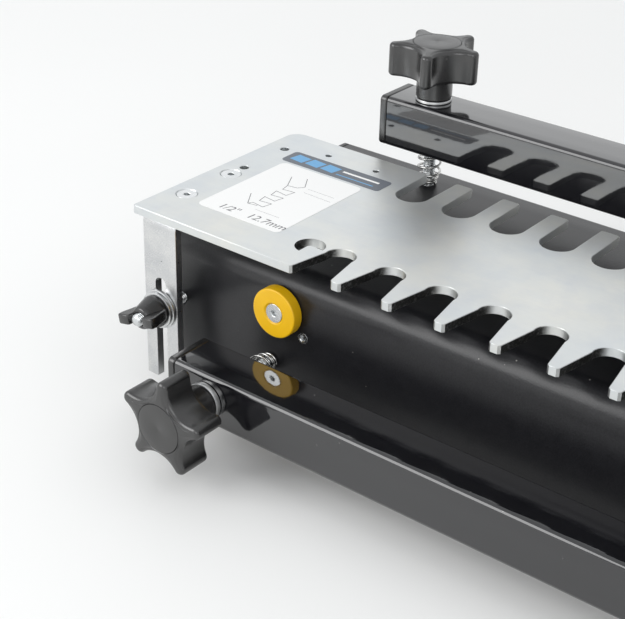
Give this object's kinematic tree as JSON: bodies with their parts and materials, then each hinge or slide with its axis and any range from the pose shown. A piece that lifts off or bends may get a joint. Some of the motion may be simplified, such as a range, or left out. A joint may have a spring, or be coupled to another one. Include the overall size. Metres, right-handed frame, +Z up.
{
  "type": "dovetail jig",
  "caption": "Bench jig for routing dovetails: folded steel base, finger template on slotted brackets, and two square clamp bars drawn down by star knobs.",
  "frame": {"origin": "on the bench plane, under the middle of the box of the whole jig, knobs included", "axes": "+X along the jig to the right as the user faces it, -Y towards the user, +Z up"},
  "size_m": [0.485, 0.2173, 0.1527],
  "materials": {
    "powder_coat": "fine textured black powder coat",
    "gloss_paint": "gloss black paint",
    "template_metal": "zinc plated, fine matt with a faint mottle",
    "zinc": "zinc plated, satin",
    "screw_steel": "zinc plated",
    "spring_wire": "zinc plated wire",
    "black_plastic": "fine satin moulding",
    "yellow_paint": "satin yellow"
  },
  "bodies": {
    "base": {"base_body": "powder_coat", "end_plate_left": "powder_coat", "end_plate_right": "powder_coat", "clamp_stud_front_left": "screw_steel", "clamp_stud_front_right": "screw_steel", "clamp_stud_rear_left": "screw_steel", "clamp_stud_rear_right": "screw_steel", "stud_nut_front_left": "screw_steel", "stud_nut_front_right": "screw_steel", "stud_nut_rear_left": "screw_steel", "stud_nut_rear_right": "screw_steel", "spring_front_left": "spring_wire", "spring_front_right": "spring_wire", "spring_rear_left": "spring_wire", "spring_rear_right": "spring_wire", "depth_stud_left": "screw_steel", "depth_stud_right": "screw_steel", "depth_lock_nut_left": "screw_steel", "depth_lock_nut_right": "screw_steel", "side_stop_left": "yellow_paint", "side_stop_right": "yellow_paint", "side_stop_screw_left": "screw_steel", "side_stop_screw_right": "screw_steel"},
    "front_clamp_bar": {"front_bar": "gloss_paint", "bar_cap_front_left": "black_plastic", "bar_cap_front_right": "black_plastic"},
    "rear_clamp_bar": {"rear_bar": "gloss_paint", "bar_cap_rear_left": "black_plastic", "bar_cap_rear_right": "black_plastic"},
    "front_knob_left": {"knob_front_left": "black_plastic", "knob_cap_front_left": "black_plastic", "knob_washers_front_left": "zinc"},
    "front_knob_right": {"knob_front_right": "black_plastic", "knob_cap_front_right": "black_plastic", "knob_washers_front_right": "zinc"},
    "rear_knob_left": {"knob_rear_left": "black_plastic", "knob_cap_rear_left": "black_plastic", "knob_washers_rear_left": "zinc"},
    "rear_knob_right": {"knob_rear_right": "black_plastic", "knob_cap_rear_right": "black_plastic", "knob_washers_rear_right": "zinc"},
    "depth_washers": {"depth_washers_left": "zinc", "depth_washers_right": "zinc"},
    "stop_nut_left": {"stop_nut_left": "black_plastic"},
    "stop_nut_right": {"stop_nut_right": "black_plastic"},
    "wing_knob_left": {"wing_knob_left": "black_plastic"},
    "wing_knob_right": {"wing_knob_right": "black_plastic"},
    "template": {"template_plate": "template_metal", "bracket_left": "zinc", "bracket_right": "zinc", "bracket_screw_left_front": "screw_steel", "bracket_screw_left_rear": "screw_steel", "bracket_screw_right_front": "screw_steel", "bracket_screw_right_rear": "screw_steel"}
  },
  "joints": [
    {"name": "front_bar_slide", "type": "slide", "parent": "base", "child": "front_clamp_bar", "axis": [0, 1, 0], "range_m": [0, 0.01], "deforming": ["spring_front_left", "spring_front_right"]},
    {"name": "front_knob_left_spin", "type": "hinge", "parent": "front_clamp_bar", "child": "front_knob_left", "pos_m": [-0.1765, -0.0803, 0.032], "axis": [0, 1, 0], "range_deg": [0, 3600]},
    {"name": "front_knob_right_spin", "type": "hinge", "parent": "front_clamp_bar", "child": "front_knob_right", "pos_m": [0.1765, -0.0803, 0.032], "axis": [0, 1, 0], "range_deg": [0, 3600]},
    {"name": "rear_bar_slide", "type": "slide", "parent": "base", "child": "rear_clamp_bar", "axis": [0, 0, -1], "range_m": [0, 0.01], "deforming": ["spring_rear_left", "spring_rear_right"]},
    {"name": "rear_knob_left_spin", "type": "hinge", "parent": "rear_clamp_bar", "child": "rear_knob_left", "pos_m": [-0.1765, 0.085, 0.1238], "axis": [0, 0, -1], "range_deg": [0, 3600]},
    {"name": "rear_knob_right_spin", "type": "hinge", "parent": "rear_clamp_bar", "child": "rear_knob_right", "pos_m": [0.1765, 0.085, 0.1238], "axis": [0, 0, -1], "range_deg": [0, 3600]},
    {"name": "depth_slide", "type": "slide", "parent": "base", "child": "depth_washers", "axis": [0, 1, 0], "range_m": [-0.005, 0.0022]},
    {"name": "stop_nut_left_spin", "type": "hinge", "parent": "depth_washers", "child": "stop_nut_left", "pos_m": [-0.2313, -0.0457, 0.0454], "axis": [0, 1, 0], "range_deg": [-1800, 792]},
    {"name": "stop_nut_right_spin", "type": "hinge", "parent": "depth_washers", "child": "stop_nut_right", "pos_m": [0.2313, -0.0457, 0.0454], "axis": [0, 1, 0], "range_deg": [-1800, 792]},
    {"name": "wing_knob_left_spin", "type": "hinge", "parent": "depth_washers", "child": "wing_knob_left", "pos_m": [-0.2313, -0.0538, 0.0454], "axis": [0, 1, 0], "range_deg": [-720, 0]},
    {"name": "wing_knob_right_spin", "type": "hinge", "parent": "depth_washers", "child": "wing_knob_right", "pos_m": [0.2313, -0.0538, 0.0454], "axis": [0, 1, 0], "range_deg": [-720, 0]},
    {"name": "template_lift", "type": "slide", "parent": "depth_washers", "child": "template", "axis": [0, 0, 1], "range_m": [-0.007, 0.05]}
  ],
  "couplings": [
    {"joint": "front_knob_left_spin", "follows": "front_bar_slide", "rad_per_m": 6283.2},
    {"joint": "front_knob_right_spin", "follows": "front_bar_slide", "rad_per_m": 6283.2},
    {"joint": "rear_knob_left_spin", "follows": "rear_bar_slide", "rad_per_m": 6283.2},
    {"joint": "rear_knob_right_spin", "follows": "rear_bar_slide", "rad_per_m": 6283.2},
    {"joint": "stop_nut_left_spin", "follows": "depth_slide", "rad_per_m": 6283.2},
    {"joint": "stop_nut_right_spin", "follows": "depth_slide", "rad_per_m": 6283.2}
  ]
}
